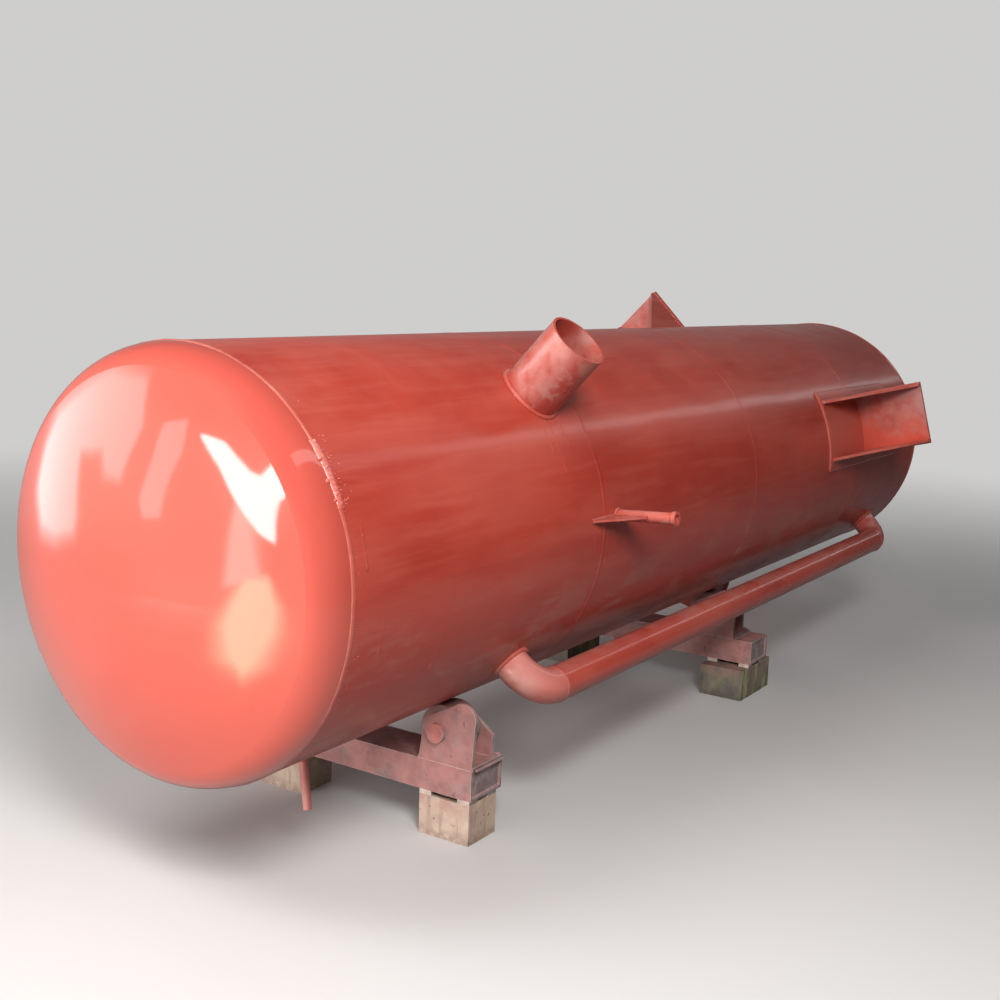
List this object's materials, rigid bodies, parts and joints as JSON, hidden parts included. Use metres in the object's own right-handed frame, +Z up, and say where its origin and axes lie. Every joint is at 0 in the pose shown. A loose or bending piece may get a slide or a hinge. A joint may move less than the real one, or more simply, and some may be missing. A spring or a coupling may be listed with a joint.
{
  "type": "horizontal pressure tank on roller stands",
  "caption": "Round pressure tank with dished ends, open nozzle, side header pipe and sloping support lugs, lying on two low roller stands.",
  "frame": {"origin": "on the floor at the middle of the assembly's overall box; the tank's axis lies 83.9 mm to the -X side of it and 950 mm up", "axes": "+Y along the tank from the near end to the far end, +Z up, +X to the side with the header pipe"},
  "size_m": [1.6736, 5.1146, 1.6962],
  "materials": {
    "shell_primer": "glossy red oxide primer",
    "pipe_primer": "glossy red oxide primer",
    "lug_primer": "satin red oxide primer",
    "stand_paint": "dusty primer overspray",
    "pedestal_paint": "worn old paint",
    "packing_steel": "mill scale",
    "roller_steel": "worn tread with overspray",
    "pin_steel": "overspray"
  },
  "bodies": {
    "root": {"shell_course_1": "shell_primer", "shell_course_2": "shell_primer", "shell_course_3": "shell_primer", "shell_course_4": "shell_primer", "near_head": "shell_primer", "far_head": "shell_primer", "large_nozzle": "pipe_primer", "side_stub": "pipe_primer", "side_stub_gusset": "pipe_primer", "header_near_elbow": "pipe_primer", "header_pipe": "pipe_primer", "header_far_elbow": "pipe_primer", "drain_socket": "pipe_primer", "drain_pipe": "pipe_primer", "right_lug_pad": "lug_primer", "right_lug_gussets": "lug_primer", "right_lug_seat": "lug_primer", "under_lug_pad": "lug_primer", "under_lug_gussets": "lug_primer", "under_lug_seat": "lug_primer", "left_lug_pad": "lug_primer", "left_lug_gussets": "lug_primer", "left_lug_seat": "lug_primer", "near_beam": "stand_paint", "near_right_pedestal": "pedestal_paint", "near_left_pedestal": "pedestal_paint", "near_packing": "packing_steel", "near_right_bracket": "stand_paint", "near_left_bracket": "stand_paint", "near_right_roller": "roller_steel", "near_left_roller": "roller_steel", "near_right_pin": "pin_steel", "near_left_pin": "pin_steel", "far_beam": "stand_paint", "far_right_pedestal": "pedestal_paint", "far_left_pedestal": "pedestal_paint", "far_packing": "packing_steel", "far_right_bracket": "stand_paint", "far_left_bracket": "stand_paint", "far_right_roller": "roller_steel", "far_left_roller": "roller_steel", "far_right_pin": "pin_steel", "far_left_pin": "pin_steel"}
  },
  "joints": []
}
